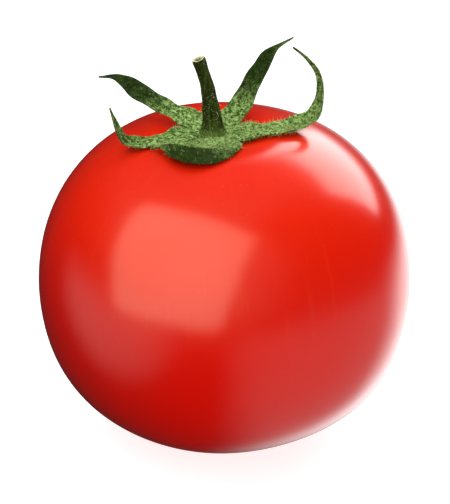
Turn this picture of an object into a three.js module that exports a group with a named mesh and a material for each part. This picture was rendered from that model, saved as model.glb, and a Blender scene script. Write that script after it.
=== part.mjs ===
// A ripe globe tomato with its green calyx and a short stub of stalk, standing on its blossom end.
//
// Units are millimetres. +Z is up, the table is Z = 0, and the origin is under the middle of the fruit.
// -Y is the front. The fruit is one solid of flesh and skin, the stalk is another, and each of the five
// sepals is a leaf of its own. The sepals meet edge to edge round the foot of the stalk.
import * as THREE from "three";
import { ParametricGeometry } from "three/addons/geometries/ParametricGeometry.js";

// ---------------------------------------------------------------- driving dimensions

// Fruit
const FRUIT_WIDTH = 75; // along X, at the widest ring
const FRUIT_DEPTH = 74; // along Y, at the widest ring
const CROWN_RISE = 33.6; // widest ring up to where the crown would close if it had no hollow
const BASE_DROP = 33.6; // widest ring down to where the base would close if it had no flat spot
const FULLNESS = 2.28; // exponent of the side outline: 2 is an ellipse, and more is squarer
const REST_SPOT_RADIUS = 9; // the small flat spot that the fruit rests on
const HOLLOW_DEPTH = 4.2; // the hollow in the crown, where the stalk sits
const HOLLOW_RADIUS = 8.5; // where the hollow has fallen off to a third of its depth
const STALK_OFFSET = -2.3; // the hollow and the stalk stand this far off the fruit's middle, along X
const LOBES = [
  { count: 3, depth: 0.3, turn: 0.6 }, // each is a wave round the fruit: how many, how deep, and its phase
  { count: 5, depth: 0.22, turn: 2.1 },
];

// Stalk
const STALK_HEIGHT = 16; // above the seat, before its cut end
const STALK_FOOT_RADIUS = 2.7; // where it stands on the crown
const STALK_ROOT_RADIUS = 1.85; // above the foot
const STALK_WAIST_RADIUS = 1.15; // the thinnest place, below the cut end
const STALK_END_RADIUS = 1.32; // the swollen cut end
const STALK_WAIST_AT = 11.8; // height of the waist above the seat
const STALK_LEAN = -2.8; // how far the cut end stands to the side of the foot, along X
const STALK_BENT_SHARE = 0.75; // this share of the lean comes as a bend, and the rest is straight
const STALK_BEND = 2.4; // exponent of the bend: more puts it nearer the cut end
const PITH_RADIUS = 0.55; // the hollow in the cut end
const PITH_DEPTH = 1.2;

// Calyx
const SEAT_ABOVE_HOLLOW = 2.2; // the calyx's upper face above the bottom of the hollow, at the stalk
const SEPAL_THICKNESS = 1.1; // at the midrib, near the stalk
const TIP_THICKNESS = 0.55; // at the midrib, near the tip
const FUSED_RADIUS = 5; // the sepals share one face inside this radius
const FREE_RADIUS = 9; // each has its own shape outside this one
const LOOSE_RADIUS = 13; // and may cross the line of a seam only outside this one
const FUSED_RISE = 0.55; // the shared face rises by this much from the stalk outwards
const CUP_SHAPE = 1.5; // exponent of a sepal's section: 1 folds it to a V, and 2 rounds it to a trough
const GAP = 0.3; // between touching pieces

// How finely the solids are cut
const FRUIT_SEGMENTS = 48;
const FRUIT_STEP_DEGREES = 3;
const STALK_SEGMENTS = 14;
const STALK_STEPS = 12;
const SEPAL_AROUND = 12;
const SEPAL_STEPS = 24;

// The five sepals, anticlockwise from the right as seen from above. A seam is the direction in degrees
// where a sepal meets the one before it. The midrib's points are measured from the seat, on the upper
// side of the foot of the stalk. Half widths, cup and roll are given at equal steps from base to tip:
// cup lifts the two margins as a share of the half width, and roll turns the blade about its midrib.
const SEPALS = {
  // lies out over the shoulder, then curls up and back like a C
  sepal_right: {
    seam: -38,
    midrib: [
      [2.6, 0.2, 0],
      [8, -1, 0.8],
      [12.8, -0.5, 1.1],
      [16.9, 1.6, 1.1],
      [19.9, 3.2, 2.1],
      [21.1, 4.2, 4.4],
      [21.4, 4.8, 8.2],
      [20.7, 5.4, 10.8],
      [18.8, 6.2, 13.1],
      [15.7, 7, 15.4],
    ],
    halfWidths: [2.4, 4.2, 2.9, 2.7, 2.5, 1.8, 1.15, 0.75, 0.45, 0.25],
    cup: [0, 0.1, 0.3, 0.4, 0.4, 0],
    roll: [0, 0, 6, 12, 12, 12],
  },
  // stands up steeply behind the stalk
  sepal_back: {
    seam: 38,
    midrib: [
      [1.4, 2.4, 0],
      [4, 5, 0.8],
      [5.8, 8, 2.8],
      [8, 10.4, 6.5],
      [9.7, 11.6, 9],
      [11, 12.8, 11],
      [12.8, 14.2, 12.5],
      [16.1, 15.8, 14],
    ],
    halfWidths: [2.4, 3.7, 2.7, 2.1, 1.85, 1.5, 0.55, 0.2],
    cup: [0, 0.1, 0.25, 0.35, 0.35, 0],
    roll: [0, 0, 10, 12, 12, 10],
  },
  // rises gently, and ends in a level tip
  sepal_back_left: {
    seam: 100,
    midrib: [
      [-1.8, 2, 0],
      [-5.3, 5, 1.1],
      [-8.6, 6.6, 1.9],
      [-12.1, 8.1, 3.3],
      [-15.2, 9.7, 4.7],
      [-17.6, 10.9, 6.2],
      [-19.6, 12, 6.9],
      [-22.9, 13, 6.7],
    ],
    halfWidths: [2.4, 3.8, 2.5, 2.3, 2.25, 2, 0.9, 0.25],
    cup: [0, 0.15, 0.25, 0.3, 0.3, 0],
    roll: [0, 0, -10, -18, -18, -15],
  },
  // lies on the skin, then turns straight up
  sepal_left: {
    seam: 160,
    midrib: [
      [-2.6, -0.6, 0],
      [-6, -2.2, 0.5],
      [-9.7, -3.6, 0.2],
      [-13, -4.2, -0.3],
      [-15.6, -4.2, -0.3],
      [-17.5, -3.8, 0.2],
      [-18.6, -3.4, 2.2],
      [-19.2, -2.9, 4.3],
      [-19.9, -2.3, 6.6],
    ],
    halfWidths: [2.4, 3.8, 2.6, 2.2, 2.2, 1.5, 0.8, 0.25],
    cup: [0, 0.1, 0.1, 0.3, 0.4, 0],
    roll: [0, -3, -6, -5, 0, 0],
  },
  // broad: folds down over the edge of the hollow, and sweeps round to the left along the skin
  sepal_front: {
    seam: 222,
    midrib: [
      [0.3, -2.6, 0],
      [0.3, -5.5, 0.5],
      [-0.5, -8.8, 0.95],
      [-2.8, -10.4, 1.8],
      [-5.7, -10, 2.2],
      [-8.6, -8.4, 1.7],
      [-10.9, -7.4, 0.7],
      [-12.2, -6.9, 0],
    ],
    halfWidths: [2.6, 5.5, 5.3, 5.2, 4.7, 3.1, 1.4, 0.3],
    cup: [0, -0.1, -0.25, -0.35, -0.3, 0],
    roll: [0, 0, -10, -18, -18, -10],
  },
};

// ---------------------------------------------------------------- helpers

const { clamp, degToRad, lerp, radToDeg, smoothstep } = THREE.MathUtils;

// A smooth value from numbers given at equal steps, at a share from 0 to 1 of the way along.
function along(values, share) {
  const at = clamp(share, 0, 1) * (values.length - 1);
  const i = Math.min(Math.floor(at), values.length - 2);
  const f = at - i;
  const before = values[Math.max(i - 1, 0)];
  const after = values[Math.min(i + 2, values.length - 1)];
  const [a, b] = [values[i], values[i + 1]];
  return (
    a +
    0.5 * f * (b - before + f * (2 * before - 5 * a + 4 * b - after + f * (3 * (a - b) + after - before)))
  );
}

// Moves every vertex of a geometry to where place() puts it.
function reshape(geometry, place) {
  const position = geometry.getAttribute("position");
  const vertex = new THREE.Vector3();
  for (let i = 0; i < position.count; i++) {
    vertex.fromBufferAttribute(position, i);
    place(vertex);
    position.setXYZ(i, vertex.x, vertex.y, vertex.z);
  }
  geometry.computeVertexNormals();
  return geometry;
}

function piece(name, geometry, material) {
  const mesh = new THREE.Mesh(geometry, material);
  mesh.name = name;
  return mesh;
}

// ---------------------------------------------------------------- fruit

// How much wider the fruit is in one direction, as a share of its radius.
function lobe(angle) {
  const waves = LOBES.map(({ count, depth, turn }) => depth * Math.cos(count * angle + turn));
  return waves.reduce((sum, wave) => sum + wave, 0) / (FRUIT_WIDTH / 2);
}

// Height of the side outline above or below the widest ring, at a share of the radius.
function outline(share, height) {
  return height * Math.max(0, 1 - share ** FULLNESS) ** (1 / FULLNESS);
}

function hollow(x, y) {
  return HOLLOW_DEPTH * Math.exp(-((x - STALK_OFFSET) ** 2 + y ** 2) / HOLLOW_RADIUS ** 2);
}

const EQUATOR = outline(REST_SPOT_RADIUS / (FRUIT_WIDTH / 2), BASE_DROP); // widest ring above the table

// Height of the fruit's upper skin above the table.
function crown(x, y) {
  const [a, b] = [x / (FRUIT_WIDTH / 2), y / (FRUIT_DEPTH / 2)];
  const share = Math.hypot(a, b) / (1 + lobe(Math.atan2(b, a)));
  return EQUATOR + outline(Math.min(share, 1), CROWN_RISE) - hollow(x, y);
}

function fruitGeometry() {
  const radius = FRUIT_WIDTH / 2;
  const spotAngle = Math.asin((EQUATOR / BASE_DROP) ** (FULLNESS / 2));
  const steps = Math.ceil((radToDeg(spotAngle) + 90) / FRUIT_STEP_DEGREES);
  const profile = [new THREE.Vector2(0, 0)];
  for (let i = 0; i <= steps; i++) {
    const angle = lerp(-spotAngle, Math.PI / 2, i / steps);
    const rise = angle < 0 ? -BASE_DROP : CROWN_RISE;
    const out = i === steps ? 0 : radius * Math.cos(angle) ** (2 / FULLNESS);
    const height = EQUATOR + rise * Math.abs(Math.sin(angle)) ** (2 / FULLNESS);
    profile.push(new THREE.Vector2(out, i === 0 ? 0 : height));
  }
  const geometry = new THREE.LatheGeometry(profile, FRUIT_SEGMENTS).rotateX(Math.PI / 2);
  return reshape(geometry, (v) => {
    const wider = 1 + lobe(Math.atan2(v.y, v.x));
    v.x *= wider;
    v.y *= wider * (FRUIT_DEPTH / FRUIT_WIDTH);
    if (v.z > EQUATOR) v.z -= hollow(v.x, v.y);
  });
}

// ---------------------------------------------------------------- stalk

const HOLLOW_FLOOR = crown(STALK_OFFSET, 0);
const SEAT = new THREE.Vector3(STALK_OFFSET, 0, HOLLOW_FLOOR + SEAT_ABOVE_HOLLOW);
const STALK_BELOW_SEAT = SEAT_ABOVE_HOLLOW - GAP;

// The line that the stalk follows: nearly upright on its foot, and leaning more towards its cut end.
function stalkShift(height) {
  const share = Math.max(0, height) / STALK_HEIGHT;
  return STALK_LEAN * lerp(share, share ** STALK_BEND, STALK_BENT_SHARE);
}

// How steeply that line leans at a height, as an angle.
function stalkTilt(height) {
  const step = STALK_HEIGHT / 1000;
  return Math.atan2(stalkShift(height + step) - stalkShift(height - step), 2 * step);
}

// Height of the fruit's skin below a point of the calyx, measured from the seat.
function skinBelow(x, y) {
  return crown(x + SEAT.x, y) - SEAT.z;
}

function stalkGeometry() {
  const side = new THREE.SplineCurve([
    new THREE.Vector2(STALK_FOOT_RADIUS, 0),
    new THREE.Vector2(STALK_ROOT_RADIUS, STALK_WAIST_AT / 4),
    new THREE.Vector2((STALK_ROOT_RADIUS + STALK_WAIST_RADIUS) / 2, STALK_WAIST_AT * 0.6),
    new THREE.Vector2(STALK_WAIST_RADIUS, STALK_WAIST_AT),
    new THREE.Vector2(STALK_END_RADIUS, STALK_HEIGHT),
  ]);
  const profile = [
    new THREE.Vector2(0, -STALK_BELOW_SEAT),
    new THREE.Vector2(STALK_FOOT_RADIUS, -STALK_BELOW_SEAT),
    ...side.getPoints(STALK_STEPS),
    new THREE.Vector2(PITH_RADIUS, STALK_HEIGHT),
    new THREE.Vector2(PITH_RADIUS, STALK_HEIGHT - PITH_DEPTH),
    new THREE.Vector2(0, STALK_HEIGHT - PITH_DEPTH),
  ];
  const geometry = new THREE.LatheGeometry(profile, STALK_SEGMENTS).rotateX(Math.PI / 2);
  return reshape(geometry, (v) => {
    const height = v.z;
    const tilt = stalkTilt(height);
    v.z = height - v.x * Math.sin(tilt);
    v.x = v.x * Math.cos(tilt) + stalkShift(height);
    v.z = Math.max(v.z, skinBelow(v.x, v.y) + GAP);
  });
}

// ---------------------------------------------------------------- sepals

// The midrib's points, directions and sideways directions, at equal steps. The sideways direction starts
// level and is carried along without turning about the midrib.
function leafFrames(midrib) {
  const frames = [];
  let side = null;
  for (let i = 0; i <= SEPAL_STEPS; i++) {
    const point = midrib.getPointAt(i / SEPAL_STEPS);
    const ahead = midrib.getTangentAt(i / SEPAL_STEPS);
    if (!side) side = new THREE.Vector3(0, 0, 1).cross(ahead);
    side = side.clone().addScaledVector(ahead, -side.dot(ahead)).normalize();
    frames.push({ point, ahead, side });
  }
  return frames;
}

// Near the stalk a sepal is a sector of the fused disc: each row across it is an arc from seam to seam, on
// the face that all five share. Further out the row goes over to the leaf's own shape.
function fuse(vertex, point, across, level, from, to) {
  const nearest = STALK_FOOT_RADIUS + GAP;
  const radius = Math.max(Math.hypot(point.x, point.y), nearest);
  const free = smoothstep(radius, FUSED_RADIUS, FREE_RADIUS);
  const loose = smoothstep(radius, FREE_RADIUS, LOOSE_RADIUS);
  const middle = (from + to) / 2;
  const reach = (to - from) / 2 - Math.asin(GAP / 2 / radius);
  const angle = Math.atan2(vertex.y, vertex.x) - middle;
  const turned = Math.atan2(Math.sin(angle), Math.cos(angle)); // the same angle, between -PI and PI
  const kept = lerp(clamp(turned, -reach, reach), turned, loose);
  const direction = middle + lerp(across * reach, kept, free);
  const out = lerp(radius, Math.max(Math.hypot(vertex.x, vertex.y), nearest), free);
  const shared = FUSED_RISE * smoothstep(radius, STALK_FOOT_RADIUS, FREE_RADIUS) + level;
  vertex.set(out * Math.cos(direction), out * Math.sin(direction), lerp(shared, vertex.z, free));
}

function sepalGeometry(leaf, from, to) {
  const midrib = new THREE.CatmullRomCurve3(leaf.midrib.map((p) => new THREE.Vector3(...p)));
  const frames = leafFrames(midrib);
  const rows = SEPAL_STEPS + 1; // one row more than the midrib has, which closes the base
  const surface = (u, v, target) => {
    const row = Math.round(v * rows) - 1;
    const share = Math.max(row, 0) / SEPAL_STEPS;
    const { point, ahead, side } = frames[Math.max(row, 0)];
    const sideways = side.clone().applyAxisAngle(ahead, degToRad(along(leaf.roll, share)));
    const up = ahead.clone().cross(sideways);
    const thickness = row < 0 ? 0 : lerp(SEPAL_THICKNESS, TIP_THICKNESS, share);
    const across = row === SEPAL_STEPS ? 0 : Math.cos(2 * Math.PI * u);
    const level = row === SEPAL_STEPS ? 0 : (Math.sin(2 * Math.PI * u) * thickness) / 2;
    const halfWidth = along(leaf.halfWidths, share);
    const lift = along(leaf.cup, share) * Math.abs(across) ** CUP_SHAPE * halfWidth;
    target.copy(point).addScaledVector(sideways, across * halfWidth).addScaledVector(up, lift + level);
    fuse(target, point, across, level, from, to);
    const lowest = skinBelow(target.x, target.y) + GAP + level + SEPAL_THICKNESS / 2;
    target.z = Math.max(target.z, lowest);
  };
  return new ParametricGeometry(surface, SEPAL_AROUND, rows);
}

// ---------------------------------------------------------------- the whole tomato

const skin = new THREE.MeshStandardMaterial({ color: 0xe3200c, roughness: 0.22, metalness: 0 });
const leafGreen = new THREE.MeshStandardMaterial({ color: 0x5c7d2e, roughness: 0.75, metalness: 0 });
const stalkGreen = new THREE.MeshStandardMaterial({ color: 0x4a5f1c, roughness: 0.7, metalness: 0 });

const tomato = new THREE.Group();
tomato.add(piece("fruit", fruitGeometry(), skin));

const top = new THREE.Group();
top.position.copy(SEAT);
top.add(piece("stalk", stalkGeometry(), stalkGreen));
const leaves = Object.entries(SEPALS);
leaves.forEach(([name, leaf], i) => {
  const next = leaves[(i + 1) % leaves.length][1].seam + (i + 1 === leaves.length ? 360 : 0);
  top.add(piece(name, sepalGeometry(leaf, degToRad(leaf.seam), degToRad(next)), leafGreen));
});
tomato.add(top);

export default tomato;
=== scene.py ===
# %% [markdown]
# # A ripe tomato
#
# This lesson dresses a plain solid model of a tomato until it looks like the real vegetable. The solid
# model says where everything is: one fruit, one stub of stalk, and five sepals, which are the small green
# leaves under a tomato flower that stay on the ripe fruit. Every piece made here sits in the same space as
# its solid, in metres, with +Z up and the table at Z = 0. The front of the tomato looks along -Y.

import math

import bmesh
import bpy
import numpy as np
from mathutils import Matrix, Vector, noise
from mathutils.bvhtree import BVHTree


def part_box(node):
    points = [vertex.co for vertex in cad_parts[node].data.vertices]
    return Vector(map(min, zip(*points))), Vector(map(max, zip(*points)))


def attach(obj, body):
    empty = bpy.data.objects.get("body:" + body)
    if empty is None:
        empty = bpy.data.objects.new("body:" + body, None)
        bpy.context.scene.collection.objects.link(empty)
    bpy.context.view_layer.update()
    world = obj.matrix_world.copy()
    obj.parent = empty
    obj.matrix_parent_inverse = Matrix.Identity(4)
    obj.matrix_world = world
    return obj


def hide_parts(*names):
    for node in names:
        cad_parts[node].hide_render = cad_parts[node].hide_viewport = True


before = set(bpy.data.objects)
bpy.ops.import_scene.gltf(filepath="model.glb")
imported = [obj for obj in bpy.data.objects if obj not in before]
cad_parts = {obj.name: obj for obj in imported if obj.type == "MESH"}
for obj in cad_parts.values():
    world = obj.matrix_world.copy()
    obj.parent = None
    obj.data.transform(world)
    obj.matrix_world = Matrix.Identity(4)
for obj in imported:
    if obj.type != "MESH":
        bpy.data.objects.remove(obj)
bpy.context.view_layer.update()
fruit_low, fruit_high = (Vector(corner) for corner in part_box("fruit"))
print("solid nodes:", sorted(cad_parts))
print("fruit box in mm:", [round(v * 1000, 1) for v in fruit_high - fruit_low])

# %% [markdown]
# ## The sizes that all pieces share
#
# A tomato is nearly a ball, but it is a little flatter than wide, its crown sinks in where the stalk
# stands, and its base is just flat enough to stand on. Those few numbers are written once, in
# millimetres, because both the skin and the leaves that lie on it have to agree about them.

# %% Sizes
MM = 0.001
CROWN_RISE = 33.6 * MM  # from the widest ring up to where the crown would close without its hollow
BASE_DROP = 33.6 * MM  # from the widest ring down to where the base would close without its flat spot
EQUATOR = 33.02 * MM  # height of the widest ring above the table
HOLLOW_DEPTH = 4.2 * MM
HOLLOW_RADIUS = 8.5 * MM
STALK_OFFSET = -2.3 * MM  # the hollow and the stalk stand this far to the left of the middle
SQUARENESS = 0.021  # how much the outline bulges at its corners, between a ball and a box
FRUIT_WIDTH = 75 * MM
FRUIT_DEPTH = 74 * MM

# %% [markdown]
# ## Writing node trees as sums
#
# Materials and Geometry Nodes are both made of small boxes joined by wires. Adding each box by hand hides
# the idea behind dozens of lines, so a wire is wrapped in a small class: adding or multiplying two wires
# makes the Math node that does it. Every other node comes from the one method `node`.

# %% A wire that Python can calculate with
class Wire:
    """One output socket of a node tree, which +, -, *, / and ** work on."""

    def __init__(self, tree, socket=None):
        self.tree = tree
        self.socket = socket

    def node(self, kind, settings=None, inputs=None, output=0):
        """Adds a node: its settings first, then a value or a Wire for each input socket."""
        made = self.tree.nodes.new(kind)
        for name, value in (settings or {}).items():
            setattr(made, name, value)
        for key, value in (inputs or {}).items():
            if isinstance(value, Wire):
                self.tree.links.new(value.socket, made.inputs[key])
            else:
                made.inputs[key].default_value = value
        return Wire(self.tree, made.outputs[output])

    def math(self, operation, *others):
        """The Math node of this operation on the wire and the others."""
        return self.node("ShaderNodeMath", {"operation": operation}, dict(enumerate((self,) + others)))

    def __add__(self, other):
        return self.math("ADD", other)

    def __sub__(self, other):
        return self.math("SUBTRACT", other)

    def __rsub__(self, other):
        return self * -1.0 + other

    def __mul__(self, other):
        return self.math("MULTIPLY", other)

    def __truediv__(self, other):
        return self.math("DIVIDE", other)

    def __pow__(self, other):
        return self.math("POWER", other)

    __radd__ = __add__
    __rmul__ = __mul__

    def between(self, low, high):
        """0 at low, 1 at high, and smooth in between."""
        settings = {"interpolation_type": "SMOOTHSTEP"}
        return self.node("ShaderNodeMapRange", settings, {0: self, 1: low, 2: high})

    def parts(self):
        """The X, Y and Z of a vector."""
        split = self.node("ShaderNodeSeparateXYZ", None, {0: self})
        return [Wire(self.tree, socket) for socket in split.socket.node.outputs]

    def joined(self, x, y, z):
        """A vector from its X, Y and Z."""
        return self.node("ShaderNodeCombineXYZ", None, {0: x, 1: y, 2: z})

    def blend(self, share, start, end):
        """A colour between start and end. Both may be wires or plain colours."""
        settings = {"data_type": "RGBA", "clamp_factor": True}
        return self.node("ShaderNodeMix", settings, {0: share, 6: start, 7: end}, output=2)

# %% [markdown]
# ## Geometry Nodes, run once
#
# Geometry Nodes build a shape from a rule. The tree below each piece gets named inputs, so that a size can
# be changed without touching the rule. A finished piece should be a plain mesh, so a helper runs the tree
# once and keeps only its result.

# %% Helpers for Geometry Nodes
INPUT_TYPES = {float: "NodeSocketFloat", int: "NodeSocketInt", bpy.types.Material: "NodeSocketMaterial"}


def start_tree(name, values):
    """A new geometry tree with one named input for each value. Returns it and its inputs as wires."""
    tree = bpy.data.node_groups.new(name, "GeometryNodeTree")
    tree.interface.new_socket("Geometry", in_out="INPUT", socket_type="NodeSocketGeometry")
    tree.interface.new_socket("Geometry", in_out="OUTPUT", socket_type="NodeSocketGeometry")
    for label, value in values.items():
        tree.interface.new_socket(label, in_out="INPUT", socket_type=INPUT_TYPES[type(value)])
    group_input = tree.nodes.new("NodeGroupInput")
    wires = {socket.name: Wire(tree, socket) for socket in group_input.outputs if socket.name}
    return tree, wires


def end_tree(tree, geometry):
    """Joins the last geometry wire to the tree's output."""
    group_output = tree.nodes.new("NodeGroupOutput")
    tree.links.new(geometry.socket, group_output.inputs[0])


def run_tree(name, tree, values, start_mesh):
    """Puts the tree on an object, runs it once, and returns an object with the resulting plain mesh."""
    maker = bpy.data.objects.new(name + "_maker", start_mesh)
    bpy.context.collection.objects.link(maker)
    modifier = maker.modifiers.new(tree.name, "NODES")
    modifier.node_group = tree
    for item in tree.interface.items_tree:
        if item.in_out == "INPUT" and item.name in values:
            modifier[item.identifier] = values[item.name]
    graph = bpy.context.evaluated_depsgraph_get()
    mesh = bpy.data.meshes.new_from_object(
        maker.evaluated_get(graph), preserve_all_data_layers=True, depsgraph=graph
    )
    bpy.data.objects.remove(maker)
    mesh.name = name
    piece = bpy.data.objects.new(name, mesh)
    bpy.context.collection.objects.link(piece)
    mesh.calc_loop_triangles()
    print(name, "has", len(mesh.loop_triangles), "triangles")
    return piece


# %% [markdown]
# ## The skin of the fruit
#
# The fruit grew as one smooth thing, so it is one closed mesh. It could be a UV sphere pulled into shape by
# hand, but then its poles would pinch and no number could change it. Instead the tree starts from an ico
# sphere, whose triangles are all alike, and moves each point by a rule: bulge the outline a little, add
# three and five very shallow lobes, sink the crown round the stalk, and flatten the base on the table.

# %% Shape rule of the fruit
FRUIT_SIZES = {
    "Width": FRUIT_WIDTH,
    "Depth": FRUIT_DEPTH,
    "Crown Rise": CROWN_RISE,
    "Base Drop": BASE_DROP,
    "Equator": EQUATOR,
    "Squareness": SQUARENESS,
    "Lobe Depth": 0.3 * MM,
    "Hollow Depth": HOLLOW_DEPTH,
    "Hollow Radius": HOLLOW_RADIUS,
    "Hollow Offset": STALK_OFFSET,
    "Scar Depth": 0.7 * MM,
    "Scar Radius": 1.5 * MM,
    "Contact Softness": 0.5 * MM,
    "Wobble": 0.12 * MM,
    "Fineness": 7,
}
THIRD = 3.0  # the squareness comes from the third overtone of the circle
THREE_LOBES_AT = 0.6  # the direction of the lobes, in radians
FIVE_LOBES_AT = 2.1
FIVE_LOBES_SHARE = 0.7  # how deep the five lobes are beside the three
WOBBLE_SCALE = 55.0


def fruit_tree(sizes):
    """The tree that turns a ball of radius 1 into the fruit."""
    tree, size = start_tree("Fruit Shape", sizes)
    here = Wire(tree)
    ball = here.node("GeometryNodeMeshIcoSphere", None, {"Radius": 1.0, "Subdivisions": size["Fineness"]})
    x, y, z = here.node("GeometryNodeInputPosition").parts()

    # a ring's radius and height, from the ball's own, with a little of the third overtone
    q = size["Squareness"]
    ring = (1.0 - q * (4.0 * (x * x + y * y) - THIRD)) / (1.0 - q)
    rise = (1.0 + q * (THIRD - 4.0 * z * z)) / (1.0 - q)
    upper = z.math("GREATER_THAN", 0.0)
    half_height = size["Crown Rise"] * upper + size["Base Drop"] * (1.0 - upper)

    turn = y.math("ARCTAN2", x)
    threes = (turn * 3.0 + THREE_LOBES_AT).math("COSINE")
    fives = (turn * 5.0 + FIVE_LOBES_AT).math("COSINE")
    waves = threes + fives * FIVE_LOBES_SHARE
    wider = 1.0 + waves * size["Lobe Depth"] / (size["Width"] * 0.5)
    flat_x = x * ring * wider * size["Width"] * 0.5
    flat_y = y * ring * wider * size["Depth"] * 0.5
    height = size["Equator"] + z * rise * half_height

    from_stalk = flat_x - size["Hollow Offset"]
    spread = (from_stalk * from_stalk + flat_y * flat_y) / (size["Hollow Radius"] * size["Hollow Radius"])
    height = height - upper * size["Hollow Depth"] * (spread * -1.0).math("EXPONENT")

    near_scar = (flat_x * flat_x + flat_y * flat_y) / (size["Scar Radius"] * size["Scar Radius"])
    height = height.math("SMOOTH_MAX", 0.0, size["Contact Softness"])
    height = height + (1.0 - upper) * size["Scar Depth"] * (near_scar * -1.0).math("EXPONENT")

    # a growing fruit is never a perfect figure: a slow wobble bends its highlights
    place = here.joined(flat_x, flat_y, height)
    slow = {"Vector": place, "Scale": WOBBLE_SCALE, "Detail": 1.0}
    slow = here.node("ShaderNodeTexNoise", None, slow)
    swell = 1.0 + (slow - 0.5) * size["Wobble"] * 2.0 / size["Crown Rise"]
    place = here.joined(flat_x * swell, flat_y * swell, height)

    shaped = here.node("GeometryNodeSetPosition", None, {"Geometry": ball, "Position": place})
    smooth = here.node("GeometryNodeSetShadeSmooth", None, {"Geometry": shaped})
    real = here.node("GeometryNodeRealizeInstances", None, {0: smooth})
    end_tree(tree, here.node("GeometryNodeSetMaterial", None, {"Geometry": real, "Material": size["Skin"]}))
    return tree


# %% Make the fruit
skin_wax = bpy.data.materials.new("tomato_skin_wax")
fruit_inputs = FRUIT_SIZES | {"Skin": skin_wax}
fruit = run_tree("fruit_skin", fruit_tree(fruit_inputs), fruit_inputs, bpy.data.meshes.new("start"))
fruit_lookup = BVHTree.FromPolygons(
    [v.co.copy() for v in fruit.data.vertices], [tuple(p.vertices) for p in fruit.data.polygons]
)
print("fruit reaches from", round(min(v.co.z for v in fruit.data.vertices) / MM, 2), "mm up")

# %% [markdown]
# ## Where the skin is below a leaf
#
# The sepals lie on the fruit, so each of their points has to know how high the skin is below it. A BVH tree
# answers that quickly: a ray is dropped from above, and the first hit is the skin.

# %% Height of the skin
SKY = 0.2  # rays start this high, well above the stalk
SEAT_ABOVE_SKIN = 2.2 * MM


def skin_height(x, y):
    """Height of the skin above a place of the table."""
    hit = fruit_lookup.ray_cast(Vector((x, y, SKY)), Vector((0, 0, -1)))[0]
    return hit.z if hit else EQUATOR


SEAT = Vector((STALK_OFFSET, 0, skin_height(STALK_OFFSET, 0) + SEAT_ABOVE_SKIN))
print("the calyx sits", round(SEAT.z / MM, 1), "mm above the table")
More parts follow.
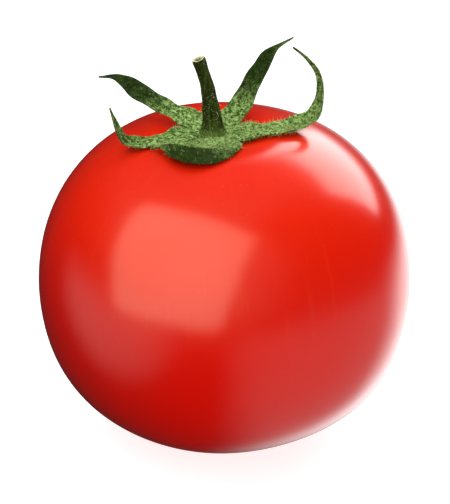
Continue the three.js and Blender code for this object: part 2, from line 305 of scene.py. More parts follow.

# %% [markdown]
# ## A sepal
#
# A sepal is a narrow leaf. It could be a flat card bent by hand, but a real one has a midrib with a groove
# above it and a ridge below it, two margins that wave each in its own way, and a blade that thins towards
# them. So each sepal is swept: its midrib is a smooth line through a few points, and at each step along it
# a flat ring of points gives the section of the blade. The midrib's points are measured in millimetres
# from the seat, at the foot of the stalk, and the seam is the direction in degrees where a sepal meets the
# one before it. The lists say how wide, how cupped and how rolled the blade is, at equal steps from base to
# tip, and a fourth list says how dark its green is: partly the leaf's own darker green, and partly painted
# shade where the blade turns away from the light. The front sepal is creased along its middle: only its
# outer half, which hangs down over the skin, is painted dark with shade.

# %% The five sepals
# the darkness lists paint each sepal's darker green together with painted shade where its blade turns from
# the light
SEPALS = {
    "sepal_right": {
        "seam": -38,
        "midrib": [(2.6, 0.2, 0), (8, -1, 0.8), (12.8, -0.5, 1.1), (16.9, 1.6, 1.1), (19.9, 3.2, 2.1),
                   (21.1, 4.2, 4.4), (21.4, 4.8, 8.2), (20.7, 5.4, 10.8), (18.8, 6.2, 13.1),
                   (15.7, 7, 15.4)],
        "half_widths": [2.4, 4.2, 2.9, 2.7, 2.5, 1.8, 1.15, 0.75, 0.45, 0.15],
        "cup": [0, 0.1, 0.3, 0.4, 0.4, 0],
        "roll": [0, 0, 6, 12, 12, 12],
        "deep": [0.1, 0.15, 0.1, 0.15, 0.3, 0.35, 0.5, 0.6],
    },
    "sepal_back": {
        "seam": 38,
        "midrib": [(1.4, 2.4, 0), (4, 5, 0.8), (5.8, 8, 2.8), (8, 10.4, 6.5), (9.7, 11.6, 9),
                   (11, 12.8, 11), (12.8, 14.2, 12.5), (16.1, 15.8, 14)],
        "half_widths": [2.4, 3.7, 2.7, 2.1, 1.85, 1.5, 0.55, 0.12],
        "cup": [0, 0.1, 0.25, 0.35, 0.35, 0],
        "roll": [0, 0, 10, 12, 12, 10],
        "deep": [0.1, 0.15, 0.3, 0.6, 0.85, 0.8, 0.65, 0.5],
    },
    "sepal_back_left": {
        "seam": 100,
        "midrib": [(-1.8, 2, 0), (-5.3, 5, 1.1), (-8.6, 6.6, 1.9), (-12.1, 8.1, 3.3), (-15.2, 9.7, 4.7),
                   (-17.6, 10.9, 6.2), (-19.6, 12, 6.9), (-22.9, 13, 6.7)],
        "half_widths": [2.4, 3.8, 2.5, 2.3, 2.25, 2, 0.9, 0.15],
        "cup": [0, 0.15, 0.25, 0.3, 0.3, 0],
        "roll": [0, 0, -10, -18, -18, -15],
        "deep": [0.1, 0.15, 0.25, 0.5, 0.75, 0.85, 0.85, 0.8],
    },
    "sepal_left": {
        "seam": 160,
        "midrib": [(-2.6, -0.6, 0), (-6, -2.2, 0.5), (-9.7, -3.6, 0.2), (-13, -4.2, -0.3),
                   (-15.6, -4.2, -0.3), (-17.5, -3.8, 0.2), (-18.6, -3.4, 2.2), (-19.2, -2.9, 4.3),
                   (-19.9, -2.3, 6.6)],
        "half_widths": [2.4, 3.8, 2.6, 2.2, 2.2, 1.5, 0.8, 0.15],
        "cup": [0, 0.1, 0.1, 0.3, 0.4, 0],
        "roll": [0, -3, -6, -5, 0, 0],
        "deep": [0.1, 0.15, 0.2, 0.3, 0.4, 0.55, 0.5, 0.6],
    },
    "sepal_front": {
        "seam": 222,
        "midrib": [(0.3, -2.6, 0), (0.3, -5.5, 0.5), (-0.5, -8.8, 0.95), (-2.8, -10.4, 1.8),
                   (-5.7, -10, 2.2), (-8.6, -8.4, 1.7), (-10.9, -7.4, 0.7), (-12.2, -6.9, 0)],
        "half_widths": [2.6, 5.5, 5.3, 5.2, 4.7, 3.1, 1.4, 0.15],
        "cup": [0, -0.1, -0.25, -0.35, -0.3, 0],
        "roll": [0, 0, -10, -18, -18, -10],
        "deep": [0.1, 0.15, 0.45, 0.95, 0.95, 0.75, 0.45, 0.3],
        # the outer half of the front sepal, where it hangs down over the skin, is painted dark with shade
        "outer_half_deep": True,
    },
}

# %% [markdown]
# ### Lines and lists
#
# Two small helpers do the smoothing. One reads a value between the numbers of a list, and the other draws
# a line through a list of points and hands it back cut into equal steps.

# %% Smooth lists and smooth lines
def along(values, share):
    """A smooth value from numbers given at equal steps, at a share from 0 to 1 of the way along."""
    at = min(max(share, 0.0), 1.0) * (len(values) - 1)
    i = min(int(at), len(values) - 2)
    f = at - i
    before, a, b = values[max(i - 1, 0)], values[i], values[i + 1]
    after = values[min(i + 2, len(values) - 1)]
    bend = 2 * before - 5 * a + 4 * b - after + f * (3 * (a - b) + after - before)
    return a + 0.5 * f * (b - before + f * bend)


def smooth_line(points, steps, samples=40):
    """A line through all the points, as steps + 1 points at equal distances."""
    p = [Vector(point) for point in points]
    p = [p[0] * 2 - p[1]] + p + [p[-1] * 2 - p[-2]]
    dense = []
    for i in range(1, len(p) - 2):
        spans = [math.sqrt((p[i + j] - p[i + j - 1]).length) for j in range(3)]
        leave = (p[i] - p[i - 1]) / spans[0] - (p[i + 1] - p[i - 1]) / (spans[0] + spans[1])
        leave = (leave + (p[i + 1] - p[i]) / spans[1]) * spans[1]
        arrive = (p[i + 1] - p[i]) / spans[1] - (p[i + 2] - p[i]) / (spans[1] + spans[2])
        arrive = (arrive + (p[i + 2] - p[i + 1]) / spans[2]) * spans[1]
        for k in range(samples):
            f = k / samples
            start, end = 2 * f**3 - 3 * f**2 + 1, 3 * f**2 - 2 * f**3
            leaving, arriving = f**3 - 2 * f**2 + f, f**3 - f**2
            dense.append(p[i] * start + leave * leaving + p[i + 1] * end + arrive * arriving)
    dense = np.array([tuple(v) for v in dense + [p[-2]]])
    lengths = np.concatenate([[0], np.cumsum(np.linalg.norm(np.diff(dense, axis=0), axis=1))])
    wanted = np.linspace(0, lengths[-1], steps + 1)
    even = np.stack([np.interp(wanted, lengths, dense[:, axis]) for axis in range(3)], axis=1)
    return [Vector(row) for row in even], lengths[-1]

# %% [markdown]
# ### The fused disc
#
# Round the stalk the five sepals are grown together into one small disc, and only further out does each go
# its own way. So near the stalk a row across a sepal is an arc from one seam to the next, and between the
# two radii it turns smoothly into the leaf's own shape. The rows run a hair past the seam here, so that
# neighbours close up with a faint crease between them and no crack.

# %% How a sepal joins the disc
FOOT_RADIUS = 2.7 * MM
FUSED_RADIUS = 5 * MM
FREE_RADIUS = 9 * MM
LOOSE_RADIUS = 13 * MM
FUSED_RISE = 0.55 * MM
SEAM_LAP = 0.12 * MM


def ease(value, low, high):
    """0 at low, 1 at high, and smooth in between, for a plain number."""
    f = min(max((value - low) / (high - low), 0.0), 1.0)
    return f * f * (3 - 2 * f)


def mix(a, b, share):
    """A number or vector between a and b."""
    return a + (b - a) * share


def fuse(point, midpoint, across, level, seams):
    """Moves a point of a sepal, measured from the seat, to where the disc wants it."""
    radius = max(math.hypot(midpoint.x, midpoint.y), FOOT_RADIUS)
    free = ease(radius, FUSED_RADIUS, FREE_RADIUS)
    loose = ease(radius, FREE_RADIUS, LOOSE_RADIUS)
    middle = (seams[0] + seams[1]) / 2
    reach = (seams[1] - seams[0]) / 2 + mix(SEAM_LAP, -SEAM_LAP, free) / radius
    angle = math.atan2(point.y, point.x) - middle
    turned = math.atan2(math.sin(angle), math.cos(angle))
    kept = mix(min(max(turned, -reach), reach), turned, loose)
    direction = middle + mix(across * reach, kept, free)
    out = mix(radius, max(math.hypot(point.x, point.y), FOOT_RADIUS), free)
    shared = FUSED_RISE * ease(radius, FOOT_RADIUS, FREE_RADIUS) + level
    return Vector((out * math.cos(direction), out * math.sin(direction), mix(shared, point.z, free)))

# %% [markdown]
# ### Sweeping the blade
#
# Each ring of the sweep is a thin lens: the upper face with its groove, and the lower face with its ridge.
# Small waves run along the margins, and a slow noise dents the blade as drying does. Whatever would sink
# into the fruit is lifted until it lies on the skin. Four numbers are stored on each point, so that the
# material can follow the leaf: how far along and how far across it is, whether it is on the lower face,
# and how dark its green is, which also carries the sepal's painted shade.

# %% Build one sepal
LEAF_STEPS = 150
LEAF_AROUND = 48
LEAF_THICKNESS = [1.0, 0.95, 0.7, 0.55, 0.5, 0.4, 0.25]
GROOVE_DEPTH = 0.16 * MM
GROOVE_WIDTH = 0.35 * MM
RIDGE_DEPTH = 0.28 * MM
RIDGE_WIDTH = 0.5 * MM
WAVE_HEIGHT = 0.09 * MM
WAVE_LENGTH = 5.2 * MM
DENT_HEIGHT = 0.22 * MM
DENT_SIZE = 3.6 * MM
DISC_DENTS = 0.8  # the share of the dents that the fused disc has
FULL_WAVES = 2 * MM  # a blade narrower than this to each side has smaller waves and dents
MARGINS_APART = 2.3  # how far the waves of the two margins are out of step, in radians
WIDTH_RIPPLE = 0.04  # how much the width wanders along the blade
CUP_POWER = 1.5  # the section of a cupped blade: 1 folds it to a V, and 2 rounds it to a trough
LIE_CLEAR = 0.06 * MM
LIE_SOFTNESS = 0.1 * MM
PAINTED_SHADE_ACROSS = (-0.15, 0.3)  # where across a creased sepal its outer half, painted dark with shade, begins and is full


def blade_section(turn, half_width, thickness, cup):
    """Across, up and level of a point of the section, before waves and dents."""
    across = math.cos(turn)
    level = math.sin(turn) * thickness / 2
    side = across * half_width
    if level > 0:
        level -= GROOVE_DEPTH * math.exp(-((side / GROOVE_WIDTH) ** 2))
    else:
        level -= RIDGE_DEPTH * math.exp(-((side / RIDGE_WIDTH) ** 2)) * math.sqrt(1 - across**2)
    return side, cup * abs(across) ** CUP_POWER * half_width, level


def sepal_rows(leaf, number):
    """Yields, for each step along the midrib, its share and the points of the section there."""
    line, length = smooth_line(leaf["midrib"], LEAF_STEPS)
    seams = leaf["seams"]
    side = None
    for i, midpoint in enumerate(line):
        share = i / LEAF_STEPS
        ahead = (line[min(i + 1, LEAF_STEPS)] - line[max(i - 1, 0)]).normalized()
        side = Vector((0, 0, 1)).cross(ahead) if side is None else side
        side = (side - ahead * side.dot(ahead)).normalized()
        across_way = Matrix.Rotation(math.radians(along(leaf["roll"], share)), 3, ahead) @ side
        up = ahead.cross(across_way)
        middle = midpoint * MM
        free = ease(math.hypot(middle.x, middle.y), FUSED_RADIUS, FREE_RADIUS)
        ripple = noise.noise(Vector((share * length / 3, number * 7, 0)))
        half_width = along(leaf["half_widths"], share) * MM * (1 + WIDTH_RIPPLE * ripple * free)
        wavy = min(half_width / FULL_WAVES, 1)
        thickness = along(LEAF_THICKNESS, share) * MM
        row = []
        for k in range(LEAF_AROUND):
            turn = 2 * math.pi * k / LEAF_AROUND
            across = math.cos(turn)
            out, lift, level = blade_section(turn, half_width, thickness, along(leaf["cup"], share))
            phase = 2 * math.pi * share * length * MM / WAVE_LENGTH + number
            phase += MARGINS_APART if across > 0 else 0
            lift += WAVE_HEIGHT * across**2 * math.sin(phase) * wavy * free
            point = middle + across_way * out + up * (lift + level)
            dent = noise.noise(point / DENT_SIZE + Vector((number * 3.1, 0, 0)))
            point += up * dent * DENT_HEIGHT * mix(DISC_DENTS, 1, free) * wavy
            point = fuse(point, middle, across, level, seams)
            spot = point + SEAT
            floor = skin_height(spot.x, spot.y) + LIE_CLEAR + (level + thickness / 2 + RIDGE_DEPTH * free)
            spot.z = 0.5 * (spot.z + floor + math.hypot(spot.z - floor, LIE_SOFTNESS))
            row.append((spot, across, level < 0))
        yield share, row


def ring_faces(rings, around):
    """Four-cornered faces between neighbouring rings of points."""
    return [
        (i * around + k, i * around + (k + 1) % around,
         (i + 1) * around + (k + 1) % around, (i + 1) * around + k)
        for i in range(rings - 1)
        for k in range(around)
    ]


def build_sepal(name, leaf, number):
    """One sepal as a closed mesh, with its four numbers stored on its points."""
    mesh = bpy.data.meshes.new(name)
    vertices, values = [], {"along": [], "across": [], "under": [], "deep": []}
    for share, row in sepal_rows(leaf, number):
        for spot, across, under in row:
            vertices.append(spot)
            values["along"].append(share)
            values["across"].append(across)
            values["under"].append(float(under))
            # on a creased sepal only the outer half, which hangs down, gets the painted shade
            outer = ease(across, *PAINTED_SHADE_ACROSS) if leaf.get("outer_half_deep") else 1
            values["deep"].append(along(leaf["deep"], share) * outer)
    n = LEAF_AROUND
    faces = ring_faces(LEAF_STEPS + 1, n)
    last = LEAF_STEPS * n
    for start in (0, last):  # both ends are closed with a strip between the upper and the lower face
        for k in range(n // 2):
            strip = [start + k, start + (k + 1), start + (n - k - 1) % n, start + (n - k) % n]
            strip = list(dict.fromkeys(strip))
            if len(strip) > 2:
                faces.append(tuple(strip))
    mesh.from_pydata(vertices, [], faces)
    for label, numbers in values.items():
        mesh.attributes.new(label, "FLOAT", "POINT").data.foreach_set("value", numbers)
    whole = bmesh.new()
    whole.from_mesh(mesh)
    bmesh.ops.recalc_face_normals(whole, faces=whole.faces)
    whole.to_mesh(mesh)
    whole.free()
    mesh.shade_smooth()
    piece = bpy.data.objects.new(name, mesh)
    bpy.context.collection.objects.link(piece)
    return piece

# %% Build all five
leaf_green = bpy.data.materials.new("sepal_leaf_green")
sepals = {}
names = list(SEPALS)
for number, name in enumerate(names):
    leaf = SEPALS[name]
    following = SEPALS[names[(number + 1) % len(names)]]["seam"] + (360 if number + 1 == len(names) else 0)
    leaf["seams"] = (math.radians(leaf["seam"]), math.radians(following))
    sepals[name] = build_sepal("leaf_" + name, leaf, number)
    sepals[name].data.materials.append(leaf_green)
    print(name, "has", len(sepals[name].data.polygons), "faces")

# %% [markdown]
# ## The stub of stalk
#
# The stalk was cut above the fruit. It is round at its waist, swells a little at the cut and flares at its
# foot into the calyx. It could be a plain cylinder with a bend, but the real one has shallow ribs where its
# veins run and a knobbly surface, so its rings are built one by one along a leaning line. The cut face has
# a firm pale ring round a soft hollow, and is given a second material.

# %% Build the stalk
STALK_HEIGHT = 16 * MM
STALK_LEAN = -2.8 * MM
STALK_STEPS = 120
STALK_AROUND = 56
STALK_SIDE = [(-1.2, 2.9), (0.2, 2.9), (0.55, 2.65), (1.0, 2.35), (1.7, 2.1), (3.2, 1.88), (6, 1.6),
              (9, 1.32), (11.8, 1.18), (13.6, 1.2), (15, 1.32), (15.7, 1.36), (16, 1.26)]
CUT_FACE = [(1.26, 16), (1.14, 16.03), (0.95, 15.95), (0.75, 15.9), (0.6, 15.6), (0.5, 15.1), (0.35, 14.9),
            (0.15, 14.85)]
RIBS = 7
RIB_HEIGHT = 0.09 * MM
RIB_TWIST = 25  # how far the ribs wind, in radians per metre
FLUTES = 4  # a second, slower set of ribs, which winds the other way
FLUTE_SHARE = 0.6
FLUTE_TWIST = 60
KNOB_HEIGHT = 0.16 * MM
KNOBS_AROUND = 1.4
KNOBS_ALONG = 420
BEND_SHARE = 0.75  # this share of the lean comes as a bend, and the rest is straight
BEND_POWER = 2.4  # more puts the bend nearer the cut end
SIDE_BLUR = 0.25 * MM  # the corners of the side line are smoothed over twice this, up and down
DARK_FROM, DARK_TO = 2 * MM, 12 * MM  # the down on the stalk thins out between these heights above the seat


def stalk_shift(height):
    """How far the stalk's line is from upright at a height."""
    share = max(0.0, height) / STALK_HEIGHT
    return STALK_LEAN * mix(share, share**BEND_POWER, BEND_SHARE)


def stalk_ring(radius, height, ribs):
    """A ring of the stalk, square to its leaning line."""
    step = 0.01 * MM
    tilt = math.atan2(stalk_shift(height + step) - stalk_shift(height - step), 2 * step)
    ring = []
    for k in range(STALK_AROUND):
        turn = 2 * math.pi * k / STALK_AROUND
        rib = math.cos(RIBS * turn + RIB_TWIST * height)
        rib += FLUTE_SHARE * math.cos(FLUTES * turn - FLUTE_TWIST * height)
        way = Vector((math.cos(turn), math.sin(turn), 0))
        knob = noise.noise(way * KNOBS_AROUND + Vector((0, 0, height * KNOBS_ALONG)))
        r = radius + (rib * RIB_HEIGHT + knob * KNOB_HEIGHT) * ribs
        x, y = r * way.x, r * way.y
        leaning_x = x * math.cos(tilt) + stalk_shift(height)
        ring.append(SEAT + Vector((leaning_x, y, height - x * math.sin(tilt))))
    return ring


def build_stalk():
    """The stalk as one closed mesh, whose cut face has the second material."""
    heights = np.array([h for h, _ in STALK_SIDE]) * MM
    radii = np.array([r for _, r in STALK_SIDE]) * MM
    rings = []
    for i in range(STALK_STEPS + 1):
        height = mix(heights[0], heights[-1], i / STALK_STEPS)
        near = [np.interp(height + d * SIDE_BLUR, heights, radii) for d in (-2, -1, 0, 1, 2)]
        rings.append(stalk_ring(sum(near) / len(near), height, 1.0))
    for i, (radius, height) in enumerate(CUT_FACE):
        rings.append(stalk_ring(radius * MM, height * MM, 1.0 - (i + 1) / len(CUT_FACE)))
    n = STALK_AROUND
    faces = ring_faces(len(rings), n)
    faces.append(tuple(range(n))[::-1])
    faces.append(tuple((len(rings) - 1) * n + k for k in range(n)))
    mesh = bpy.data.meshes.new("stalk_stub")
    mesh.from_pydata([v for ring in rings for v in ring], [], faces)
    for polygon in mesh.polygons:
        first_ring = min(polygon.vertices) // n
        polygon.material_index = 1 if first_ring >= STALK_STEPS + 1 else 0
    deep = [mix(0.6, 1, ease(v.co.z - SEAT.z, DARK_FROM, DARK_TO)) for v in mesh.vertices]
    mesh.attributes.new("deep", "FLOAT", "POINT").data.foreach_set("value", deep)
    mesh.shade_smooth()
    piece = bpy.data.objects.new("stalk_stub", mesh)
    bpy.context.collection.objects.link(piece)
    return piece


stalk = build_stalk()
stalk_green = bpy.data.materials.new("stalk_rind_green")
cut_pith = bpy.data.materials.new("stalk_cut_pith")
stalk.data.materials.append(stalk_green)
stalk.data.materials.append(cut_pith)
print("stalk reaches", round(max(v.co.z for v in stalk.data.vertices) / MM, 1), "mm above the table")

# %% [markdown]
# ## The down on the green parts
#
# Tomato leaves feel sticky because they are covered with short pale hairs. Thousands of them can't be
# placed by hand. Geometry Nodes scatter points over the green surfaces, stand one small bent cone on each,
# and give each its own size and lean. Where the green is dark, which on the sepals includes their painted
# shade, the tree plants fewer hairs: it reads the number stored for how dark the green is. The seed is
# fixed, so that the same hairs grow every time.

# %% Grow the hairs
HAIR_SIZES = {
    "Hairs per Square Metre": 6e6,
    "Hair Length": 0.6 * MM,
    "Hair Thickness": 0.035 * MM,
    "Hair Lean": 0.9,
    "Loss Where Deep": 0.95,
    "Seed": 7,
}
HAIR_BEND = 0.35  # how far a hair's tip is bent over, beside its length
SHORTEST, LONGEST = 0.45, 1.35  # beside the hair length


def hair_tree(sizes):
    """The tree that covers a mesh with hairs and returns the hairs alone."""
    tree, size = start_tree("Leaf Down", sizes)
    here = Wire(tree)
    surface = Wire(tree, size["Geometry"].socket)
    deep = here.node("GeometryNodeInputNamedAttribute", {"data_type": "FLOAT"}, {"Name": "deep"})
    thinning = 1.0 - deep * size["Loss Where Deep"]
    density = size["Hairs per Square Metre"] * thinning
    scatter = {"Mesh": surface, "Density": density, "Seed": size["Seed"]}
    points = here.node("GeometryNodeDistributePointsOnFaces", None, scatter)
    standing = Wire(tree, points.socket.node.outputs["Rotation"])
    shape = {"Vertices": 3, "Side Segments": 2, "Radius Top": 0.15, "Radius Bottom": 1.0, "Depth": 1.0}
    cone = here.node("GeometryNodeMeshCone", {"fill_type": "TRIANGLE_FAN"}, shape)
    x, y, z = here.node("GeometryNodeInputPosition").parts()
    thick, tall = size["Hair Thickness"], size["Hair Length"]
    bent = here.joined(x * thick + z * z * tall * HAIR_BEND, y * thick, z * tall)
    hair = here.node("GeometryNodeSetPosition", None, {"Geometry": cone, "Position": bent})
    lean = size["Hair Lean"]
    low, high = here.joined(lean * -1.0, lean * -1.0, -math.pi), here.joined(lean, lean, math.pi)
    chance = {0: low, 1: high, "Seed": size["Seed"]}
    tilt = here.node("FunctionNodeRandomValue", {"data_type": "FLOAT_VECTOR"}, chance)
    chance = {2: SHORTEST, 3: LONGEST, "Seed": size["Seed"] + 1.0}
    tallness = here.node("FunctionNodeRandomValue", {"data_type": "FLOAT"}, chance, output=1)
    turned = {"Rotation": standing, "Rotate By": tilt}
    turned = here.node("FunctionNodeRotateRotation", {"rotation_space": "LOCAL"}, turned)
    stand = {"Points": points, "Instance": hair, "Rotation": turned, "Scale": tallness}
    coat = here.node("GeometryNodeInstanceOnPoints", None, stand)
    real = here.node("GeometryNodeRealizeInstances", None, {0: coat})
    smooth = here.node("GeometryNodeSetShadeSmooth", None, {"Geometry": real})
    dressed = {"Geometry": smooth, "Material": size["Down"]}
    end_tree(tree, here.node("GeometryNodeSetMaterial", None, dressed))
    return tree


def joined_copy(name, pieces):
    """One mesh with the faces of several pieces."""
    whole = bmesh.new()
    for piece in pieces:
        whole.from_mesh(piece.data)
    mesh = bpy.data.meshes.new(name)
    whole.to_mesh(mesh)
    whole.free()
    return mesh


down_pale = bpy.data.materials.new("hair_down_pale")
hair_inputs = HAIR_SIZES | {"Down": down_pale}
green_parts = joined_copy("green_parts", list(sepals.values()) + [stalk])
green_area = sum(polygon.area for polygon in green_parts.polygons)
print("green area in square centimetres:", round(green_area * 1e4, 1))
hairs = run_tree("calyx_down", hair_tree(hair_inputs), hair_inputs, green_parts)

# %% [markdown]
# ## The finish of the skin
#
# Ripe tomato skin is a clear waxy film over coloured flesh. That makes three things to show. The colour
# isn't one red: it is more orange round the shoulders, deeper below, with faint streaks from stalk to base
# and tiny pale flecks. Light goes a little way in and comes out red, which the Subsurface socket does. And
# the wax gives a clear, slightly blurred reflection, which is a Coat over the base's own gloss.

# %% Helpers for materials
def srgb(red, green, blue):
    """A colour from the usual 0 to 255 numbers, as the linear numbers that nodes use."""
    parts = [v / 255 for v in (red, green, blue)]
    return tuple(v / 12.92 if v <= 0.04045 else ((v + 0.055) / 1.055) ** 2.4 for v in parts) + (1.0,)


def start_material(material):
    """Empties a material's tree. Returns a Wire to build from and the Principled node."""
    material.use_nodes = True
    tree = material.node_tree
    tree.nodes.clear()
    surface = tree.nodes.new("ShaderNodeBsdfPrincipled")
    output = tree.nodes.new("ShaderNodeOutputMaterial")
    tree.links.new(surface.outputs[0], output.inputs[0])
    return Wire(tree), surface


def finish(here, surface, wires, **constants):
    """Joins wires to the Principled node and sets its plain numbers and colours."""
    for name, wire in wires.items():
        here.tree.links.new(wire.socket, surface.inputs[name])
    for name, value in constants.items():
        surface.inputs[name.replace("_", " ")].default_value = value


def noise_at(here, place, scale, detail=2.0, roughness=0.5):
    """Cloudy noise from 0 to 1. A higher scale makes it finer."""
    inputs = {"Vector": place, "Scale": scale, "Detail": detail, "Roughness": roughness}
    return here.node("ShaderNodeTexNoise", None, inputs)


def spots_at(here, place, scale, feature="F1", output=0):
    """Distance from the middle of scattered spots, or their edges, or as output 1 a colour for each."""
    inputs = {"Vector": place, "Scale": scale}
    return here.node("ShaderNodeTexVoronoi", {"feature": feature}, inputs, output)

# %% Skin
SKIN_RED = srgb(230, 15, 3)
SKIN_DEEP = srgb(206, 8, 2)
SKIN_ORANGE = srgb(240, 42, 8)
SKIN_STREAK = srgb(247, 96, 30)
FLECK = srgb(255, 176, 110)
SCAR = srgb(92, 58, 30)
FLECK_SCALE = 620.0


def dress_skin(material):
    """The waxy red skin."""
    here, surface = start_material(material)
    place = here.node("ShaderNodeTexCoord", output=3)
    x, y, z = place.parts()
    from_stalk = x - STALK_OFFSET
    reach = (from_stalk * from_stalk + y * y) ** 0.5
    turn = y.math("ARCTAN2", from_stalk)

    cloud = noise_at(here, place, 38.0, 3.0)
    shoulder = (z + (cloud - 0.5) * (20 * MM)).between(30 * MM, 64 * MM)
    colour = here.blend(shoulder * 0.75, SKIN_RED, SKIN_ORANGE)
    colour = here.blend((1.0 - z.between(4 * MM, 30 * MM)) * 0.55, colour, SKIN_DEEP)
    colour = here.blend(noise_at(here, place, 160.0, 3.0) * 0.2, colour, SKIN_DEEP)

    # faint streaks run down from the stalk, so the noise is stretched along the height
    rays = here.joined(turn.math("COSINE") * 9.0, turn.math("SINE") * 9.0, z * 22.0)
    streak = noise_at(here, rays, 2.4, 4.0, 0.6).between(0.56, 0.78)
    streak = streak * z.between(18 * MM, 55 * MM) * reach.between(4 * MM, 12 * MM)
    colour = here.blend(streak * 0.12, colour, SKIN_STREAK)

    fleck = 1.0 - spots_at(here, place, FLECK_SCALE).between(0.05, 0.17)
    chosen = spots_at(here, place, FLECK_SCALE, output=1).parts()[0].between(0.6, 0.75)
    colour = here.blend(fleck * chosen * shoulder * 0.06, colour, FLECK)

    # the scar is where the flower was, round the middle of the base
    out = (x * x + y * y) ** 0.5 + (noise_at(here, place, 900.0) - 0.5) * (1.2 * MM)
    scar = (1.0 - out.between(1.0 * MM, 2.1 * MM)) * (1.0 - z.between(2 * MM, 4 * MM))
    colour = here.blend(scar * 0.9, colour, SCAR)

    pores = noise_at(here, place, 1500.0, 2.0)
    dimples = noise_at(here, place, 210.0, 1.0)
    height = dimples * 0.25 + pores * 0.05 - fleck * chosen * 0.03
    bump = {"Strength": 0.25, "Distance": 0.4 * MM, "Height": height}
    rough = noise_at(here, place, 60.0, 3.0) * 0.08 + 0.2 + scar * 0.4
    wires = {"Base Color": colour, "Roughness": rough, "Normal": here.node("ShaderNodeBump", None, bump)}
    finish(here, surface, wires, IOR=1.5, Subsurface_Weight=0.18, Subsurface_Scale=4 * MM,
           Subsurface_Radius=(1.0, 0.12, 0.05), Coat_Weight=0.75, Coat_Roughness=0.2, Coat_IOR=1.45,
           Specular_Tint=(1.0, 0.75, 0.5, 1), Specular_IOR_Level=0.35)


dress_skin(skin_wax)

# %% [markdown]
# ## The finish of the leaves
#
# A sepal is light green where it joins the disc and darker towards its outer half; the dark is partly the
# leaf's own green and partly painted shade where the blade turns away from the light. Its midrib and the
# veins that branch from it are a little paler, and its surface is a fine net of small cells. Most of what
# the eye sees is down, which lies in pale tufts with small dark pits between them, and every hair stands on
# a tiny pale dot. One noise makes both tufts and pits, and raises the surface in the same places. The four
# numbers stored on the leaf's points steer the rest, so the pattern bends with the leaf.

# %% Leaf
LEAF_LIGHT = srgb(112, 148, 62)
LEAF_DEEP_AND_SHADE = srgb(12, 22, 0)
LEAF_VEIN = srgb(150, 180, 104)
LEAF_UNDER = srgb(92, 118, 58)
LEAF_DOT = srgb(190, 220, 146)
LEAF_PIT = srgb(22, 46, 1)
LEAF_DRY = srgb(84, 66, 30)


def attribute(here, name):
    """A number stored on the mesh."""
    return here.node("ShaderNodeAttribute", {"attribute_name": name}, output=2)


def dress_leaf(material):
    """The downy green of the sepals."""
    here, surface = start_material(material)
    place = here.node("ShaderNodeTexCoord", output=3)
    share, across, under, deep = (attribute(here, name) for name in ("along", "across", "under", "deep"))
    away = across.math("ABSOLUTE")

    cloud = noise_at(here, place, 420.0, 3.0, 0.6)
    # darker green, partly the leaf's own and partly painted shade, which also dims the pale down and the
    # veins
    dark_and_shade = (deep + (cloud - 0.5) * 0.9).between(0.04, 0.85)
    colour = here.blend(dark_and_shade * (0.66 + cloud * 0.5), LEAF_LIGHT, LEAF_DEEP_AND_SHADE)
    colour = here.blend(under * 0.35, colour, LEAF_UNDER)

    midrib = 1.0 - away.between(0.04, 0.16)
    slant = (share * 26.0 - away * 2.2).math("FRACT")
    branches = (1.0 - (slant - 0.5).math("ABSOLUTE").between(0.02, 0.11)) * (1.0 - away.between(0.55, 0.95))
    net = 1.0 - spots_at(here, place, 1500.0, "DISTANCE_TO_EDGE").between(0.02, 0.14)
    vein = (midrib * 0.25).math("MAXIMUM", branches * 0.3).math("MAXIMUM", net * 0.2)
    colour = here.blend(vein * (1.0 - dark_and_shade * 0.9), colour, LEAF_VEIN)

    # painted shade darkens the faint creases where the seams of the fused disc meet
    seam_shade = away.between(0.75, 1.0) * (1.0 - share.between(0.1, 0.24))
    colour = here.blend(seam_shade * 0.5, colour, LEAF_PIT)

    # the down parts and lies in tufts, so the green shows through in small dark pits
    tuft = noise_at(here, place, 1500.0, 3.0, 0.65) + (cloud - 0.5) * 0.3
    colour = here.blend((1.0 - tuft.between(0.36, 0.58)) * 0.85, colour, LEAF_PIT)
    dots = 1.0 - spots_at(here, place, 2200.0).between(0.14, 0.4)
    pale = tuft.between(0.48, 0.68).math("MAXIMUM", dots * 0.6) * (0.85 - dark_and_shade * 0.82)
    colour = here.blend(pale, colour, LEAF_DOT)
    dry = share.between(0.93, 1.0).math("MAXIMUM", away.between(0.93, 1.0) * cloud.between(0.5, 0.7) * 0.5)
    colour = here.blend(dry * 0.6, colour, LEAF_DRY)

    height = dots * 0.3 + tuft * 1.6 + branches * 0.2 + cloud * 0.6 - midrib * 0.3
    bump = here.node("ShaderNodeBump", None, {"Strength": 0.7, "Distance": 0.26 * MM, "Height": height})
    rough = 0.6 + cloud * 0.2
    wires = {"Base Color": colour, "Roughness": rough, "Normal": bump}
    finish(here, surface, wires, IOR=1.42, Subsurface_Weight=0.12, Subsurface_Scale=1 * MM,
           Subsurface_Radius=(0.5, 1.0, 0.2), Specular_IOR_Level=0.05)


dress_leaf(leaf_green)

# %% [markdown]
# ## The finish of the stalk
#
# The rind of the stalk is a dark, dull green with paler streaks along its ribs and a few of the leaves'
# dots, and it lightens at its foot where it runs into the calyx. The cut face shows pale dry wood round a
# darker, sunken pith.

# %% Stalk and cut
STALK_DARK = srgb(26, 36, 1)
STALK_LIGHT = srgb(80, 98, 32)
CUT_PALE = srgb(228, 228, 184)
CUT_DARK = srgb(92, 84, 44)


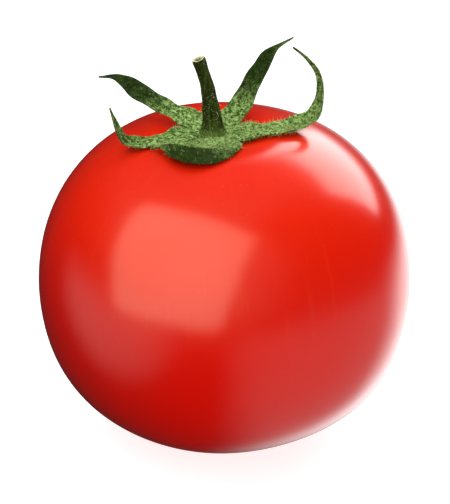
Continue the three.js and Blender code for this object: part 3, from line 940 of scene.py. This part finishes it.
def dress_stalk(material):
    """The dull green rind of the stalk."""
    here, surface = start_material(material)
    place = here.node("ShaderNodeTexCoord", output=3)
    x, y, z = place.parts()
    stretched = here.joined(x, y, z * 0.12)
    streak = noise_at(here, stretched, 900.0, 3.0, 0.6).between(0.42, 0.66)
    colour = here.blend(streak * 0.6, STALK_DARK, STALK_LIGHT)
    foot = 1.0 - z.between(SEAT.z + 0.2 * MM, SEAT.z + 2.4 * MM)
    colour = here.blend(foot * 0.5, colour, LEAF_LIGHT)
    dots = 1.0 - spots_at(here, place, 2300.0).between(0.12, 0.34)
    colour = here.blend(dots * 0.12, colour, LEAF_DOT)
    rings = noise_at(here, place, 600.0, 2.0).between(0.5, 0.7)
    colour = here.blend(rings * 0.35, colour, STALK_DARK)
    height = streak * 0.5 + dots * 0.35
    bump = here.node("ShaderNodeBump", None, {"Strength": 0.7, "Distance": 0.2 * MM, "Height": height})
    wires = {"Base Color": colour, "Roughness": 0.5 + streak * 0.15, "Normal": bump}
    finish(here, surface, wires, IOR=1.42, Specular_IOR_Level=0.1)


def dress_cut(material):
    """The cut end: pale wood round a dark pith."""
    here, surface = start_material(material)
    place = here.node("ShaderNodeTexCoord", output=3)
    x, y, _ = place.parts()
    side = x - (SEAT.x + STALK_LEAN)
    out = (side * side + y * y) ** 0.5
    fibres = noise_at(here, place, 3800.0, 3.0)
    colour = here.blend((1.0 - out.between(0.5 * MM, 1.0 * MM)) * 0.9, CUT_PALE, CUT_DARK)
    colour = here.blend(fibres.between(0.5, 0.75) * 0.4, colour, CUT_DARK)
    colour = here.blend(out.between(1.3 * MM, 1.55 * MM) * 0.7, colour, STALK_LIGHT)
    bump = here.node("ShaderNodeBump", None, {"Strength": 0.8, "Distance": 0.2 * MM, "Height": fibres})
    wires = {"Base Color": colour, "Roughness": fibres * 0.2 + 0.6, "Normal": bump}
    finish(here, surface, wires, IOR=1.4)


dress_stalk(stalk_green)
dress_cut(cut_pith)

# %% [markdown]
# ## The finish of the down
#
# A hair is a thin clear cell, so it looks pale against the leaf. It gets a light green that varies a little
# from hair to hair, and a little light goes through it.

# %% Down
HAIR_DARK = srgb(142, 176, 84)
HAIR_PALE = srgb(200, 220, 146)


def dress_down(material):
    """The pale hairs."""
    here, surface = start_material(material)
    place = here.node("ShaderNodeTexCoord", output=3)
    tint = noise_at(here, place, 1200.0, 1.0).between(0.35, 0.65)
    colour = here.blend(tint, HAIR_DARK, HAIR_PALE)
    wires = {"Base Color": colour, "Roughness": 0.45 + tint * 0.15}
    finish(here, surface, wires, IOR=1.4, Subsurface_Weight=0.2, Subsurface_Scale=0.5 * MM)


dress_down(down_pale)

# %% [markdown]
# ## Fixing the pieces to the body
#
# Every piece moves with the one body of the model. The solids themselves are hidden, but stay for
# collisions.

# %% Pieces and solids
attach(fruit, "root")
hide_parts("fruit")
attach(stalk, "root")
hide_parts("stalk")
for name, sepal in sepals.items():
    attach(sepal, "root")
    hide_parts(name)
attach(hairs, "root")

# %% [markdown]
# ## The studio
#
# The tomato stands on a plain pale table in soft light. What makes it look wet and round is what its skin
# mirrors, so mirrored light and lighting are kept apart. A large warm soft box at the front left is only
# mirrored, and makes the broad blurred window on the skin. A smaller, brighter one behind on the right
# makes the gleam on the shoulder. Three fill boxes light the colours and are never mirrored. The room is
# nearly black, so that the red stays deep, and glows softly below the horizon: on the right, where it gives
# the lower skin its haze and the edge a pale rim, and on the left, as a faint sheen. The table glows
# slightly, so that it stays pale in shadow. It is left out of the skin's mirror image, and lets the light
# of the fill box below it through.

# %% Table, lights and room
TABLE_HALF = 4.0
KEY_WARMTH = (1.0, 0.93, 0.75)


def plain_table():
    """A large flat table, which isn't part of the object."""
    mesh = bpy.data.meshes.new("table")
    corners = [(x * TABLE_HALF, y * TABLE_HALF, 0) for x, y in ((-1, -1), (1, -1), (1, 1), (-1, 1))]
    mesh.from_pydata(corners, [], [(0, 1, 2, 3)])
    table = bpy.data.objects.new("table", mesh)
    bpy.context.collection.objects.link(table)
    material = bpy.data.materials.new("table_white")
    here, surface = start_material(material)
    pale = {"Base_Color": (0.5, 0.5, 0.5, 1), "Emission_Color": (1, 1, 1, 1)}
    finish(here, surface, {}, **pale, Roughness=0.6, Emission_Strength=0.8)
    mesh.materials.append(material)
    table.visible_glossy = False
    table.visible_diffuse = False
    table.visible_shadow = False


def soft_box(name, direction, distance, width, height, radiance):
    """An area light that looks at the tomato from a direction, with a given brightness of its face."""
    data = bpy.data.lights.new(name, "AREA")
    data.shape = "RECTANGLE"
    data.size, data.size_y = width, height
    data.energy = radiance * math.pi * width * height
    lamp = bpy.data.objects.new(name, data)
    bpy.context.collection.objects.link(lamp)
    way = Vector(direction).normalized()
    lamp.location = Vector((0, 0, EQUATOR)) + way * distance
    lamp.rotation_euler = way.to_track_quat("Z", "Y").to_euler()
    return lamp


def dim_room():
    """A nearly black world that glows softly from low on the right, and faintly from low on the left.

    X, Y and Z are those of the direction that a ray leaves in: right, back and up.
    """
    world = bpy.data.worlds.new("room")
    bpy.context.scene.world = world
    world.use_nodes = True
    tree = world.node_tree
    tree.nodes.clear()
    here = Wire(tree)
    x, y, z = here.node("ShaderNodeTexCoord").parts()
    below_horizon = (z * -1.0).between(0.1, 0.35)
    floor_glow = below_horizon * x.between(-0.05, 0.35) * (y.between(0.2, 0.65) * 1.4 + 0.5)
    low_left = (x * -1.0 - y * 0.4).between(0.7, 1.0) * (z * -1.0).between(-0.15, 0.3)
    strength = floor_glow + low_left * 0.75 + 0.02
    light = {"Color": (1, 1, 1, 1), "Strength": strength}
    room = here.node("ShaderNodeBackground", None, light)
    output = tree.nodes.new("ShaderNodeOutputWorld")
    tree.links.new(room.socket, output.inputs[0])


plain_table()
# each box: its direction from the tomato, its distance, width and height in metres, and its radiance
key_box = soft_box("key_box", (-0.455, -0.70, 0.547), 1.25, 2.2, 2.2, 3.0)
key_box.visible_diffuse = False
key_box.data.color = KEY_WARMTH
soft_box("rim_box", (0.52, 0.71, 0.47), 0.8, 0.66, 0.55, 4.1)
fill_boxes = [
    soft_box("sky_box", (-0.25, 0.1, 1.0), 1.6, 2.6, 2.6, 1.75),
    soft_box("front_box", (0.0, -0.87, 0.38), 1.5, 2.2, 1.6, 1.75),
    soft_box("floor_box", (0.8, -0.3, -0.52), 1.2, 1.5, 1.5, 0.8),
]
for lamp in fill_boxes:
    lamp.visible_glossy = False
dim_room()

# %% [markdown]
# ## The camera
#
# The camera looks a little down on the tomato from straight in front, through a long lens from some way
# off, so that the fruit stays as round as it is.

# %% Camera
CAMERA_RISE = math.radians(27)
CAMERA_DISTANCE = 0.566
LENS = 200.0
AIM = Vector((0.0001, 0.0022, 0.0373))

camera_data = bpy.data.cameras.new("camera")
camera_data.lens = LENS
camera = bpy.data.objects.new("camera", camera_data)
bpy.context.collection.objects.link(camera)
backwards = Vector((0, -math.cos(CAMERA_RISE), math.sin(CAMERA_RISE)))
camera.location = AIM + backwards * CAMERA_DISTANCE
camera.rotation_euler = backwards.to_track_quat("Z", "Y").to_euler()
scene = bpy.context.scene
scene.camera = camera
scene.view_settings.view_transform = "Standard"
print("camera at", [round(v, 3) for v in camera.location])
